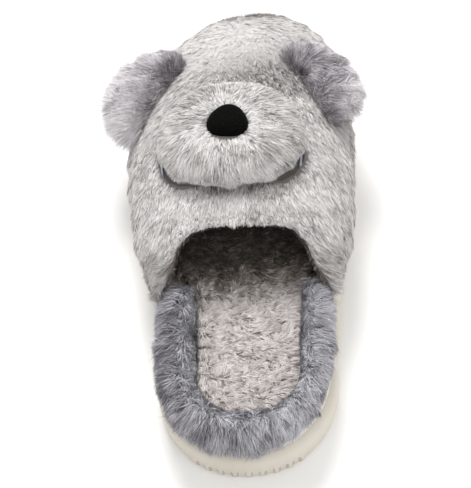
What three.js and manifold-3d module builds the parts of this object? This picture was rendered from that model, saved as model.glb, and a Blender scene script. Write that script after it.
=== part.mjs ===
import * as THREE from "three";
import Module from "manifold-3d";

const wasm = await Module();
wasm.setup();

// A plush mule for the left foot, in millimetres. Its toe points to +Y, the inner side of the foot is at +X,
// and the floor is z = 0. The origin lies on the floor under the middle of the heel.

// Sole
const LENGTH = 260.5;
const HEEL_BACK = 35;
const BALL_WIDTH = 102;
const HEEL_ROUND = 44;
const TOE_ROUND = 66;
const LOWER_BAND = 14;
const HEEL_LIFT = 5;
const GROOVE = 1.3;
const LIP_BAND = 8;
const RIM_WALL = 4;
const SEAT_STEP = 1;
const TOE_SPRING = 6;
const TOE_THINNING = 2.5;
const ARCH_RISE = 2.5;
const LOBE_DEPTH = 3.6;
const LOBE_CORNER = 13;
const CHANNEL_WIDTH = 4;
const CHANNEL_DEPTH = 2.2;
const RIB_COUNT = 9;
const RIB_WIDTH = 2.8;
const RIB_HEIGHT = 7.5;
const RIB_STEP = 6.5;
const RIB_PROUD = 0.7;

// Upper and what is sewn to it
const CREST = 66;
const BULGE = 6.5;
const WALL = 6;
const WING_BACK = 82;
const THROAT_HALF = 32;
const THROAT_FRONT = 106;
const THROAT_CORNER = 10;
const THROAT_FLARE = 11;
const SEAM_DIP = 1.6;
const COLLAR_WIDTH = 11;
const COLLAR_HEIGHT = 11.5;
const COLLAR_FRONT = 85;
const INSOLE_THICK = 6;
const INSOLE_FLARE = 24;
const MUZZLE_WIDTH = 71;
const MUZZLE_LENGTH = 58;
const MUZZLE_HEIGHT = 18.5;
const MUZZLE_PLACE = 155;
const NOSE_WIDTH = 20.4;
const NOSE_PLACE = 152;
const NOSE_HEIGHT = 7;
const EYE_WIDTH = 31;
const EYE_LENGTH = 40;
const EYE_APART = 44;
const EYE_PLACE = 148;
const FACE_SHIFT = -4.5;
const EYE_PATCH = 1.2;
const EYE_RING = 1.6;
const EYE_RING_PROUD = 0.8;
const EAR_LENGTH = 19.5;
const EAR_THICK = 6;
const LOCK_LENGTH = 14;
const LOCK_WIDTH = 10;
const LOCK_SINK = 3.5;
const THROAT_LOCKS = 8;
const EAR_LOCKS = 6;

// Clearances: between neighbouring pieces, and between the pile and the rim's top
const GAP = 0.3;
const RIM_CLEAR = 0.4;

// Steps of the lofts
const DOME_STEPS = 25;
const CAVITY_STEPS = 18;
const COLLAR_STEPS = 17;
const MUZZLE_SIDES = 24;
const NOSE_SIDES = 20;

// Plan of the rim. along: share of LENGTH from the heel end. width and shift: shares of BALL_WIDTH,
// where shift moves the section to the inner side
const PLAN = [
  { along: 0.0, width: 0.805, shift: -0.007 },
  { along: 0.16, width: 0.825, shift: -0.004 },
  { along: 0.33, width: 0.875, shift: 0.0 },
  { along: 0.5, width: 0.97, shift: -0.01 },
  { along: 0.66, width: 1.01, shift: -0.018 },
  { along: 0.82, width: 0.995, shift: 0.005 },
  { along: 1.0, width: 0.96, shift: 0.06 },
];

// Heights along the length. lift: share of HEEL_LIFT. spring: share of TOE_SPRING. arch: share of ARCH_RISE.
const LEVELS = [
  { along: 0.0, lift: 1, spring: 0, arch: 0 },
  { along: 0.2, lift: 1, spring: 0, arch: 0 },
  { along: 0.31, lift: 0.85, spring: 0, arch: 0.6 },
  { along: 0.4, lift: 0.5, spring: 0, arch: 1 },
  { along: 0.49, lift: 0.15, spring: 0, arch: 0.6 },
  { along: 0.58, lift: 0, spring: 0, arch: 0 },
  { along: 0.705, lift: 0, spring: 0, arch: 0 },
  { along: 0.84, lift: 0, spring: 0.3, arch: 0 },
  { along: 1.0, lift: 0, spring: 1, arch: 0 },
];

// Notches between the lobes of the lower band, as shares of LENGTH, and the steps of the outline in each lobe
const LOBES = [
  { from: 0.0, to: 0.208, steps: 9 },
  { from: 0.208, to: 0.336, steps: 7 },
  { from: 0.336, to: 0.462, steps: 7 },
  { from: 0.462, to: 0.588, steps: 7 },
  { from: 0.588, to: 0.716, steps: 7 },
  { from: 0.716, to: 0.845, steps: 8 },
  { from: 0.845, to: 1.0, steps: 9 },
];

// Outside and inside of the sole from the floor up. inset: share of RIM_WALL in from the rim's outline.
// low: share of the lower band's height. lip: share of LIP_BAND above the band. lobe: share of LOBE_DEPTH.
const SOLE_RINGS = [
  { inset: 0.75, low: 0, lip: 0, lobe: 0.85 },
  { inset: 0.2, low: 0.2, lip: 0, lobe: 1 },
  { inset: 0.1, low: 0.55, lip: 0, lobe: 1 },
  { inset: 0.25, low: 0.86, lip: 0, lobe: 0.95 },
  { inset: 0.6, low: 1, lip: 0, lobe: 0.45 },
];
const LIP_RINGS = [
  { inset: 0.2, lip: 0.08 },
  { inset: 0.05, lip: 0.5 },
  { inset: 0.22, lip: 0.9 },
  { inset: 0.55, lip: 1 },
  { inset: 1, lip: 0.97 },
];

// Upper along the length. crest: share of CREST. bulge: share of BULGE past the rim.
const UPPER = [
  { along: 0.28, crest: 0.7, bulge: -0.35 },
  { along: 0.32, crest: 0.77, bulge: -0.05 },
  { along: 0.36, crest: 0.89, bulge: 0.45 },
  { along: 0.4, crest: 0.955, bulge: 0.9 },
  { along: 0.46, crest: 0.99, bulge: 1 },
  { along: 0.53, crest: 1.0, bulge: 1 },
  { along: 0.64, crest: 0.955, bulge: 0.9 },
  { along: 0.75, crest: 0.875, bulge: 0.6 },
  { along: 0.83, crest: 0.82, bulge: 0.3 },
  { along: 0.9, crest: 0.77, bulge: 0.05 },
  { along: 0.95, crest: 0.72, bulge: -0.15 },
  { along: 1.0, crest: 0.69, bulge: -0.3 },
];

// Shares of LENGTH between which the upper's crest line runs out, and its sections fan round the toe
const SPINE_BEND = 0.56;
const SPINE_END = 0.755;

// Half section of the upper. reach: share from the spine to the widest line.
// rise: share from the rim to the crest
const SECTION = [
  { reach: 0.97, rise: 0.09 },
  { reach: 1.0, rise: 0.26 },
  { reach: 0.985, rise: 0.45 },
  { reach: 0.92, rise: 0.64 },
  { reach: 0.78, rise: 0.82 },
  { reach: 0.55, rise: 0.945 },
  { reach: 0.28, rise: 0.99 },
];

// Collar along the length. height: share of COLLAR_HEIGHT above the rim. inner and outer: shares of
// COLLAR_WIDTH on the inner and outer side of the foot. tuck: how far it is in behind the upper's wall
const COLLAR = [
  { along: 0.0, height: 0.92, inner: 0.92, outer: 0.92, tuck: 0 },
  { along: 0.1, height: 0.98, inner: 0.9, outer: 1.0, tuck: 0 },
  { along: 0.2, height: 1.05, inner: 0.88, outer: 1.15, tuck: 0 },
  { along: 0.29, height: 1.05, inner: 0.9, outer: 1.2, tuck: 0 },
  { along: 0.33, height: 0.95, inner: 0.95, outer: 1.2, tuck: 1 },
  { along: 0.4, height: 0.8, inner: 1.0, outer: 1.2, tuck: 1 },
];

// Section of the collar. inward: share of COLLAR_WIDTH from its outer foot. rise: share of its height
const ROLL = [
  { inward: -0.14, rise: 0.1 },
  { inward: -0.15, rise: 0.4 },
  { inward: 0.0, rise: 0.74 },
  { inward: 0.25, rise: 0.96 },
  { inward: 0.5, rise: 1.0 },
  { inward: 0.74, rise: 0.86 },
  { inward: 0.93, rise: 0.56 },
  { inward: 1.0, rise: 0.1 },
];

// Stuffed oval pad. reach: share of its half width and half length.
// rise: share of MUZZLE_HEIGHT over the upper
const PAD = [
  { reach: 0.88, rise: -0.2 },
  { reach: 0.96, rise: 0.06 },
  { reach: 1.0, rise: 0.3 },
  { reach: 0.975, rise: 0.54 },
  { reach: 0.885, rise: 0.76 },
  { reach: 0.7, rise: 0.92 },
  { reach: 0.42, rise: 0.99 },
];

// Where the pad sits, and how much wider it is at its heel side
const MUZZLE_AT = new THREE.Vector2(FACE_SHIFT, MUZZLE_PLACE - HEEL_BACK);
const PAD_SWELL = 0.1;

// Nose. reach: share of half NOSE_WIDTH. rise: share of NOSE_HEIGHT over the muzzle
const DOME = [
  { reach: 0.9, rise: -0.3 },
  { reach: 1.0, rise: 0.1 },
  { reach: 0.97, rise: 0.42 },
  { reach: 0.8, rise: 0.76 },
  { reach: 0.45, rise: 0.97 },
];

// Ear from its seam to its tip. out: share of EAR_LENGTH. lift: share of EAR_LENGTH over the seam.
// thick: share of EAR_THICK
const FLAP = [
  { out: -0.08, lift: -0.14, thick: 0.8 },
  { out: 0.1, lift: 0.12, thick: 0.95 },
  { out: 0.35, lift: 0.24, thick: 1.0 },
  { out: 0.65, lift: 0.2, thick: 0.95 },
  { out: 0.88, lift: 0.08, thick: 0.7 },
  { out: 1.0, lift: -0.02, thick: 0.3 },
];

// Ear seam, from its toe end to its heel end. along: share of LENGTH. across: share of BALL_WIDTH.
// length: share of EAR_LENGTH
const EAR_SEAM = [
  { along: 0.817, across: 0.255, length: 0.42 },
  { along: 0.805, across: 0.283, length: 0.78 },
  { along: 0.777, across: 0.33, length: 0.97 },
  { along: 0.742, across: 0.385, length: 1.0 },
  { along: 0.707, across: 0.435, length: 0.92 },
  { along: 0.677, across: 0.47, length: 0.74 },
  { along: 0.655, across: 0.495, length: 0.36 },
];

// Rows of locks on the upper. up: share of the half section from the hem to the crest. from and to: shares
// of its length from the wings to the toe. back and down: how far a lock points to the heel and down
const UPPER_LOCKS = [
  { up: 0.38, from: 0.05, to: 0.8, count: 12, back: 0.5, down: 1 },
  { up: 0.62, from: 0.08, to: 0.34, count: 4, back: 0.7, down: 0.8 },
];

// Row of locks on the collar. at: place in its section. free: share of its length left free at both ends
const COLLAR_LOCKS = { at: 3.4, free: 0.14, count: 22, lift: 0.12 };

// Ring of locks on the muzzle. ring: place between the rows of the pad
const MUZZLE_LOCKS = { ring: 2.4, count: 14, lift: 0.2 };

// Reads one column of a table at a place, smoothly between its rows and never past their values
function read(table, column, at) {
  const last = table.length - 1;
  const x = THREE.MathUtils.clamp(at, table[0].along, table[last].along);
  let k = 0;
  while (k < last - 1 && x > table[k + 1].along) k += 1;
  const secant = (i) => (table[i + 1][column] - table[i][column]) / (table[i + 1].along - table[i].along);
  const slope = (i) => {
    const before = secant(Math.max(i - 1, 0));
    const after = secant(Math.min(i, last - 1));
    return before * after > 0 ? (2 * before * after) / (before + after) : 0;
  };
  const span = table[k + 1].along - table[k].along;
  const t = (x - table[k].along) / span;
  const blend = 3 * t ** 2 - 2 * t ** 3;
  const ends = (1 - blend) * table[k][column] + blend * table[k + 1][column];
  return ends + span * ((t ** 3 - 2 * t ** 2 + t) * slope(k) + (t ** 3 - t ** 2) * slope(k + 1));
}

// How far an end is rounded off, from 0 at its tip to 1 where it is full
function rounding(distance, round) {
  const rest = 1 - Math.min(Math.max(distance / round, 0), 1);
  return (1 - rest ** 2.15) ** (1 / 2.15);
}

// A point of the rim's outline, s from the heel end, on the inner (+1) or outer (-1) side of the foot
function outline(side, s) {
  const along = s / LENGTH;
  const ends = rounding(s, HEEL_ROUND) * rounding(LENGTH - s, TOE_ROUND);
  const half = 0.5 * BALL_WIDTH * read(PLAN, "width", along) * ends;
  return new THREE.Vector2(BALL_WIDTH * read(PLAN, "shift", along) + side * half, s - HEEL_BACK);
}

// One side of the outline as close points, with the length run so far
function trace(side) {
  const count = 600;
  const points = [];
  let run = 0;
  for (let k = 0; k <= count; k += 1) {
    const s = (LENGTH / 2) * (1 - Math.cos((Math.PI * k) / count));
    const point = outline(side, s);
    if (k > 0) run += point.distanceTo(points[k - 1].point);
    points.push({ point, s, run });
  }
  return points;
}

const TRACES = { "1": trace(1), "-1": trace(-1) };

// The run of the outline at a distance s from the heel end
function runAt(side, s) {
  const points = TRACES[side];
  const k = Math.max(1, points.findIndex((p) => p.s >= s - 1e-9));
  const a = points[k - 1];
  const b = points[k];
  return a.run + ((b.run - a.run) * (s - a.s)) / (b.s - a.s);
}

// Place, outward normal and distance from the heel end at a run of the outline
function rimAt(side, run) {
  const points = TRACES[side];
  const end = points.length - 1;
  let k = points.findIndex((p) => p.run >= run - 1e-9);
  if (k < 1) k = run <= 0 ? 1 : end;
  const a = points[k - 1];
  const b = points[k];
  const t = THREE.MathUtils.clamp((run - a.run) / (b.run - a.run), 0, 1);
  const point = a.point.clone().lerp(b.point, t);
  const before = points[Math.max(k - 3, 0)].point;
  const after = points[Math.min(k + 2, end)].point;
  const tangent = after.clone().sub(before).normalize();
  const normal = new THREE.Vector2(tangent.y, -tangent.x).multiplyScalar(side);
  if (run < 1e-6) normal.set(0, -1);
  if (run > points[end].run - 1e-6) normal.set(0, 1);
  return { point, normal, s: a.s + (b.s - a.s) * t, side, run };
}

const level = (column, y) => read(LEVELS, column, (y + HEEL_BACK) / LENGTH);
const underside = (y) => TOE_SPRING * level("spring", y) + ARCH_RISE * level("arch", y);
const toeRise = (y) => (TOE_SPRING - TOE_THINNING) * level("spring", y);
const bandTop = (y) => LOWER_BAND + HEEL_LIFT * level("lift", y) + toeRise(y);
const rimTop = (y) => bandTop(y) + LIP_BAND;
const seat = (y) => bandTop(y) + SEAT_STEP;

// A point beside the rim: inset inwards from its outline, at a height given by a function of y
function beside(rim, inset, height) {
  const x = rim.point.x - rim.normal.x * inset;
  const y = rim.point.y - rim.normal.y * inset;
  return new THREE.Vector3(x, y, height(y));
}

// Closed body from triangles, with shared vertices merged and its faces pointing out
function solid(triangles) {
  const index = new Map();
  const places = [];
  const faces = [];
  const number = (p) => {
    const key = `${Math.round(p.x * 1e4)},${Math.round(p.y * 1e4)},${Math.round(p.z * 1e4)}`;
    if (!index.has(key)) {
      index.set(key, index.size);
      places.push(p.x, p.y, p.z);
    }
    return index.get(key);
  };
  let volume = 0;
  for (const [a, b, c] of triangles) {
    const face = [number(a), number(b), number(c)];
    if (new Set(face).size < 3) continue;
    volume += a.dot(b.clone().cross(c));
    faces.push(face);
  }
  const triVerts = new Uint32Array(faces.flatMap((f) => (volume > 0 ? f : [f[0], f[2], f[1]])));
  return new wasm.Manifold(new wasm.Mesh({ numProp: 3, vertProperties: new Float32Array(places), triVerts }));
}

// Closes a loop by strips between its points k and fold - k
function lid(loop, fold, reverse) {
  const n = loop.length;
  const at = (k) => loop[((k % n) + n) % n];
  const triangles = [];
  for (let k = Math.ceil((fold - n) / 2); 2 * k < fold; k += 1) {
    const [a, b, c, d] = [at(k), at(k + 1), at(fold - k - 1), at(fold - k)];
    if (2 * k + 1 > fold) break;
    triangles.push(reverse ? [a, c, b] : [a, b, c]);
    triangles.push(reverse ? [a, d, c] : [a, c, d]);
  }
  return triangles;
}

// Body through loops of equal count. fold says which points of the first and last loop face each other.
function loft(loops, fold) {
  const n = loops[0].length;
  const triangles = [...lid(loops[0], fold, true), ...lid(loops.at(-1), fold, false)];
  for (let j = 1; j < loops.length; j += 1) {
    for (let k = 0; k < n; k += 1) {
      const next = (k + 1) % n;
      triangles.push([loops[j - 1][k], loops[j - 1][next], loops[j][next]]);
      triangles.push([loops[j - 1][k], loops[j][next], loops[j][k]]);
    }
  }
  return solid(triangles);
}

// Adds a centre point over the last loop and one under the first, so that both ends close as a fan
function domed(loops, bottom, top) {
  const n = loops[0].length;
  const rings = [Array(n).fill(bottom), ...loops, Array(n).fill(top)];
  return loft(rings, n);
}

// Body of a three.js geometry, moved by a matrix
function body(geometry, matrix) {
  const flat = geometry.index ? geometry.toNonIndexed() : geometry;
  const place = flat.attributes.position;
  const triangles = [];
  const corner = (k) => new THREE.Vector3().fromBufferAttribute(place, k).applyMatrix4(matrix);
  for (let k = 0; k < place.count; k += 3) triangles.push([corner(k), corner(k + 1), corner(k + 2)]);
  return solid(triangles);
}

// The rim's places all around: up the inner side from the heel end, then back along the outer side
function around(steps) {
  const sides = [1, -1].map((side) =>
    steps.flatMap(({ from, to, steps: count }) => {
      const start = runAt(side, from * LENGTH);
      const end = runAt(side, to * LENGTH);
      return Array.from({ length: count }, (_, k) => rimAt(side, start + ((end - start) * k) / count));
    }),
  );
  const toe = rimAt(1, TRACES[1].at(-1).run);
  return [...sides[0], toe, ...sides[1].slice(1).reverse()];
}

// How far the lower band stands out at a place of the rim: full in a lobe, nothing in the notches
function lobe(rim) {
  const notches = LOBES.slice(1).map((row) => runAt(rim.side, row.from * LENGTH));
  const away = Math.min(...notches.map((run) => Math.abs(run - rim.run)));
  const rest = 1 - Math.min(away / LOBE_CORNER, 1);
  return LOBE_DEPTH * Math.sqrt(1 - rest ** 2);
}

function makeOutsole() {
  const rims = around(LOBES);
  const lower = SOLE_RINGS.map((row) =>
    rims.map((rim) => {
      const height = (y) => underside(y) + (bandTop(y) - underside(y)) * row.low;
      return beside(rim, RIM_WALL * row.inset - row.lobe * lobe(rim), height);
    }),
  );
  const upper = LIP_RINGS.map((row) => {
    const height = (y) => bandTop(y) + Math.max(GROOVE * 0.5, LIP_BAND * row.lip);
    return rims.map((rim) => beside(rim, RIM_WALL * row.inset, height));
  });
  const floor = rims.map((rim) => beside(rim, RIM_WALL, seat));
  let sole = loft([...lower, ...upper, floor], rims.length);
  for (const row of LOBES.slice(1)) sole = sole.subtract(makeChannel(row.from * LENGTH));
  for (let k = 0; k < RIB_COUNT; k += 1) sole = sole.add(makeRib((k - (RIB_COUNT - 1) / 2) * RIB_STEP));
  return sole;
}

// Channel across the tread between two notches
function makeChannel(s) {
  const y = s - HEEL_BACK;
  const box = new THREE.BoxGeometry(2 * BALL_WIDTH, CHANNEL_WIDTH, 2 * CHANNEL_DEPTH);
  return body(box, new THREE.Matrix4().makeTranslation(0, y, underside(y)));
}

// Grip rib on the heel, at a run along the rim to the inner (+) or outer (-) side of the heel end
function makeRib(run) {
  const rim = rimAt(run < 0 ? -1 : 1, Math.abs(run));
  const box = new THREE.BoxGeometry(RIB_WIDTH, 2 * RIB_PROUD + RIM_WALL, RIB_HEIGHT);
  const matrix = new THREE.Matrix4().makeRotationZ(Math.atan2(rim.normal.y, rim.normal.x) - Math.PI / 2);
  const out = LOBE_DEPTH - RIM_WALL / 2 - RIM_WALL * 0.1;
  const height = LOWER_BAND + HEEL_LIFT;
  return body(box, matrix.setPosition(beside(rim, -out, () => height * 0.5)));
}

// Rim places from one side's back over the toe to the other side's back, as facing pairs
function pairs(back, steps) {
  return Array.from({ length: steps + 1 }, (_, k) => {
    const share = 1 - (1 - k / steps) ** 1.25;
    return [-1, 1].map((side) => {
      const start = runAt(side, back);
      return rimAt(side, start + (TRACES[side].at(-1).run - start) * share);
    });
  });
}

// The point of the spine that belongs to a pair of rim places
function spine(pair) {
  const s = (pair[0].s + pair[1].s) / 2;
  const bend = SPINE_BEND * LENGTH;
  const end = SPINE_END * LENGTH;
  const over = Math.max(s - bend, 0) / (LENGTH - bend);
  const at = s < bend ? s : bend + (end - bend) * (1 - (1 - over) ** 1.9);
  return new THREE.Vector2(BALL_WIDTH * read(PLAN, "shift", at / LENGTH), at - HEEL_BACK);
}

// One closed section of the dome, grown outwards all around by a distance
function domeSection(pair, grow, foot, seam) {
  const middle = spine(pair);
  const half = (rim) => {
    const inset = RIM_WALL + GAP - grow;
    const rows = [beside(rim, inset, foot), beside(rim, inset, (y) => rimTop(y) + RIM_CLEAR)];
    for (const row of SECTION) {
      const share = (rim.point.y + HEEL_BACK) / LENGTH;
      const out = BULGE * read(UPPER, "bulge", share) + grow;
      const wide = new THREE.Vector2(rim.point.x, rim.point.y).addScaledVector(rim.normal, out);
      const place = middle.clone().lerp(wide, row.reach);
      rows.push(new THREE.Vector3(place.x, place.y, domeHeight(place.y, row.rise, grow) - seam * row.reach));
    }
    return rows;
  };
  const crest = new THREE.Vector3(middle.x, middle.y, domeHeight(middle.y, 1, grow));
  return [...half(pair[0]), crest, ...half(pair[1]).reverse()];
}

function domeHeight(y, rise, grow) {
  const top = CREST * read(UPPER, "crest", (y + HEEL_BACK) / LENGTH) + grow;
  return rimTop(y) + (top - rimTop(y)) * rise;
}

// The upper's outer form as a full body. grow moves its surface outwards, or inwards where negative.
function dome(grow, back, foot, steps, dip) {
  const rims = pairs(back, steps);
  const loops = rims.map((pair, k) => domeSection(pair, grow, foot, k === steps ? dip : 0));
  return { loops, body: loft(loops, loops[0].length - 1) };
}

// Height of the upper over a place near its crest, from the same table
function over(x, y) {
  const s = y + HEEL_BACK;
  const side = x < 0 ? -1 : 1;
  const rim = rimAt(side, runAt(side, Math.min(s, 0.9 * LENGTH)));
  const middle = BALL_WIDTH * read(PLAN, "shift", s / LENGTH);
  const half = Math.abs(rim.point.x - middle) + BULGE * read(UPPER, "bulge", s / LENGTH);
  const share = Math.min(Math.abs(x - middle) / half, 0.99);
  const rows = SECTION.slice(3).reverse().map((row) => ({ along: row.reach, rise: row.rise }));
  const section = [{ along: 0, rise: 1 }, ...rows, { along: 1, rise: 0.4 }];
  return domeHeight(y, read(section, "rise", share), 0);
}

// The arched throat opening, flared to the backs of the wings, as a body that cuts right through,
// smaller all around by a distance
function throat(shrink) {
  const front = THROAT_FRONT - HEEL_BACK - shrink;
  const half = THROAT_HALF - shrink;
  const back = -2 * LENGTH;
  const round = THROAT_CORNER;
  const brow = front - round * 0.08;
  const wide = half + THROAT_FLARE;
  const wing = WING_BACK - HEEL_BACK;
  const bend = wing + round / 2;
  const shape = new THREE.Shape();
  shape.moveTo(-wide, back);
  shape.lineTo(wide, back);
  shape.lineTo(wide, wing);
  shape.bezierCurveTo(half, bend, half, front - round * 0.2, half - round, brow);
  shape.quadraticCurveTo(0, front + round * 0.08, round - half, brow);
  shape.bezierCurveTo(-half, front - round * 0.2, -half, bend, -wide, wing);
  const options = { depth: 3 * CREST, bevelEnabled: false, curveSegments: 5 };
  const geometry = new THREE.ExtrudeGeometry(shape, options);
  return body(geometry, new THREE.Matrix4().makeTranslation(0, 0, -CREST));
}

function upperGrown(grow, dip) {
  return dome(grow, WING_BACK - grow, (y) => seat(y) + GAP - grow, DOME_STEPS, dip);
}

// The hollow upper, with its wall thicker to both sides by a distance
function upperShell(grow) {
  const outer = upperGrown(grow, SEAM_DIP);
  const inner = dome(-WALL - grow, WING_BACK - 2 * WALL, (y) => seat(y) - 2 * WALL, CAVITY_STEPS, 0);
  return { shell: outer.body.subtract(inner.body).subtract(throat(grow)), loops: outer.loops };
}

function collarWidth(rim) {
  return COLLAR_WIDTH * read(COLLAR, rim.side > 0 ? "inner" : "outer", rim.s / LENGTH);
}

function makeCollar(upper) {
  const rims = [];
  for (let k = -COLLAR_STEPS; k <= COLLAR_STEPS; k += 1) {
    const side = k < 0 ? -1 : 1;
    rims.push(rimAt(side, (runAt(side, COLLAR_FRONT) * Math.abs(k)) / COLLAR_STEPS));
  }
  const loops = rims.map((rim) => {
    const tall = (y) => COLLAR_HEIGHT * read(COLLAR, "height", (y + HEEL_BACK) / LENGTH);
    const foot = (y) => seat(y) + GAP;
    const clear = (y) => rimTop(y) + RIM_CLEAR;
    const tuck = (WALL + GAP) * read(COLLAR, "tuck", rim.s / LENGTH);
    const outer = RIM_WALL + GAP + tuck;
    const width = collarWidth(rim) - tuck;
    const roll = ROLL.map((row) => {
      const height = (y) => clear(y) + tall(y) * row.rise;
      return beside(rim, outer + width * row.inward, height);
    });
    const inside = beside(rim, outer + width, foot);
    return [beside(rim, outer, foot), beside(rim, outer, clear), ...roll, inside];
  });
  const roll = loft(loops, loops[0].length - 1);
  return trimmed(furred(roll, collarLocks(loops)), [upper]);
}

// Footbed outline inset: beside the collar at the heel, beside the upper's wall further forward
function footbedInset(rim) {
  const collar = RIM_WALL + collarWidth(rim) + 2 * GAP;
  const wall = RIM_WALL + WALL + 3 * GAP;
  const share = THREE.MathUtils.smoothstep(rim.s, COLLAR_FRONT, COLLAR_FRONT + INSOLE_FLARE);
  return collar + (wall - collar) * share;
}

function makeInsole() {
  const steps = [
    { from: 0, to: COLLAR_FRONT / LENGTH, steps: 12 },
    { from: COLLAR_FRONT / LENGTH, to: (COLLAR_FRONT + INSOLE_FLARE) / LENGTH, steps: 4 },
    { from: (COLLAR_FRONT + INSOLE_FLARE) / LENGTH, to: 1, steps: 16 },
  ];
  const rims = around(steps);
  const ring = (extra, share) =>
    rims.map((rim) => beside(rim, footbedInset(rim) + extra, (y) => seat(y) + GAP + INSOLE_THICK * share));
  return loft([ring(0.4, 0), ring(0, 0.3), ring(0.2, 0.75), ring(1.6, 1)], rims.length);
}

// Rings of the muzzle over the upper, grown all around by a distance
function padRings(grow) {
  const [at, sides, height] = [MUZZLE_AT, MUZZLE_SIDES, MUZZLE_HEIGHT];
  const [wide, long] = [MUZZLE_WIDTH / 2, MUZZLE_LENGTH / 2];
  return PAD.map((row) =>
    Array.from({ length: sides }, (_, k) => {
      const [sin, cos] = [Math.sin, Math.cos].map((f) => f((2 * Math.PI * k) / sides));
      const swell = 1 + PAD_SWELL * cos;
      const x = at.x + (wide * row.reach + grow) * Math.sign(sin) * Math.abs(sin) ** 0.85 * swell;
      const y = at.y - (long * row.reach + grow) * Math.sign(cos) * Math.abs(cos) ** 0.9;
      return new THREE.Vector3(x, y, over(x, y) + height * row.rise + (row.rise > 0 ? grow : -grow));
    }),
  );
}

function muzzleForm(grow) {
  const rings = padRings(grow);
  const crest = over(MUZZLE_AT.x, MUZZLE_AT.y);
  const bottom = new THREE.Vector3(MUZZLE_AT.x, MUZZLE_AT.y, crest - MUZZLE_HEIGHT * 0.5 - grow);
  const top = new THREE.Vector3(MUZZLE_AT.x, MUZZLE_AT.y, crest + MUZZLE_HEIGHT + grow);
  return { rings, body: domed(rings, bottom, top) };
}

function makeNose() {
  const at = new THREE.Vector2(FACE_SHIFT, NOSE_PLACE - HEEL_BACK);
  const crest = over(MUZZLE_AT.x, MUZZLE_AT.y) + MUZZLE_HEIGHT;
  const rings = DOME.map((row) =>
    Array.from({ length: NOSE_SIDES }, (_, k) => {
      const turn = (2 * Math.PI * k) / NOSE_SIDES;
      const reach = (NOSE_WIDTH / 2) * row.reach;
      const height = crest + NOSE_HEIGHT * row.rise;
      return new THREE.Vector3(at.x + reach * Math.sin(turn), at.y - reach * Math.cos(turn), height);
    }),
  );
  const bottom = new THREE.Vector3(at.x, at.y, crest - NOSE_HEIGHT * 0.5);
  const top = new THREE.Vector3(at.x, at.y, crest + NOSE_HEIGHT);
  return domed(rings, bottom, top).subtract(muzzleForm(GAP).body);
}

// Upright oval prism over an eye, grown in plan by a distance
function eyePrism(side, grow) {
  const oval = new THREE.Shape();
  oval.absellipse(0, 0, EYE_WIDTH / 2 + grow, EYE_LENGTH / 2 + grow, 0, 2 * Math.PI);
  const options = { depth: 2 * CREST, bevelEnabled: false, curveSegments: 7 };
  const x = FACE_SHIFT + (side * EYE_APART) / 2;
  const matrix = new THREE.Matrix4().makeTranslation(x, EYE_PLACE - HEEL_BACK, CREST / 2);
  return body(new THREE.ExtrudeGeometry(oval, options), matrix);
}

// Embroidered patch with a raised ring, both taken from the upper's own form
function makeEye(side, floor) {
  const patch = eyePrism(side, 0).intersect(upperGrown(GAP + EYE_PATCH, 0).body);
  const ringForm = eyePrism(side, 0).subtract(eyePrism(side, -EYE_RING));
  const ring = ringForm.intersect(upperGrown(GAP + EYE_PATCH + EYE_RING_PROUD, 0).body);
  return patch.add(ring).subtract(floor);
}

function earForm(side) {
  const seam = EAR_SEAM.map((row) => {
    const y = row.along * LENGTH - HEEL_BACK;
    const x = FACE_SHIFT + side * row.across * BALL_WIDTH;
    return { place: new THREE.Vector3(x, y, over(x, y)), length: EAR_LENGTH * row.length };
  });
  const run = seam.at(-1).place.clone().sub(seam[0].place);
  const out = new THREE.Vector3(-run.y * side, run.x * side, 0).normalize();
  return seam.map(({ place, length }) => {
    const middle = FLAP.map((row) => {
      const lift = EAR_LENGTH * row.lift * Math.min(1, length / EAR_LENGTH + 0.35);
      return place.clone().addScaledVector(out, length * row.out).add(new THREE.Vector3(0, 0, lift));
    });
    const face = (sign) =>
      middle.map((p, k) => new THREE.Vector3(p.x, p.y, p.z + (sign * EAR_THICK * FLAP[k].thick) / 2));
    return [...face(1), ...face(-1).reverse()];
  });
}

function makeEar(side, floor, muzzle) {
  const loops = earForm(side);
  const flap = loft(loops, loops[0].length - 1);
  return trimmed(furred(flap, earLocks(loops, side)), [floor, muzzle]);
}

// Place and directions on a grid of loops. j runs from loop to loop, k along a loop.
function onLoops(loops, j, k) {
  const a = Math.min(Math.floor(j), loops.length - 2);
  const b = Math.min(Math.floor(k), loops[0].length - 2);
  const [s, t] = [j - a, k - b];
  const place = loops[a][b].clone().lerp(loops[a][b + 1], t);
  const beyond = loops[a + 1][b].clone().lerp(loops[a + 1][b + 1], t);
  const alongLoop = loops[a][b + 1].clone().sub(loops[a][b]).normalize();
  const acrossLoops = beyond.clone().sub(place).normalize();
  return { place: place.lerp(beyond, s), alongLoop, acrossLoops };
}

// A lock of pile: a flat pointed tuft, its root sunk in the surface
function lock(place, direction, normal, size) {
  const way = direction.clone().normalize();
  const side = new THREE.Vector3().crossVectors(way, normal).normalize();
  const flat = new THREE.Vector3().crossVectors(side, way).multiplyScalar(0.55);
  const cone = new THREE.ConeGeometry((LOCK_WIDTH / 2) * size, LOCK_LENGTH * size, 4);
  const middle = place.clone().addScaledVector(way, (LOCK_LENGTH * size) / 2 - LOCK_SINK);
  return body(cone, new THREE.Matrix4().makeBasis(side, way, flat).setPosition(middle));
}

// Even but unequal sizes, the same at every build
const varied = (k) => 0.9 + 0.14 * Math.sin(2.4 * k + 0.7);

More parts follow.
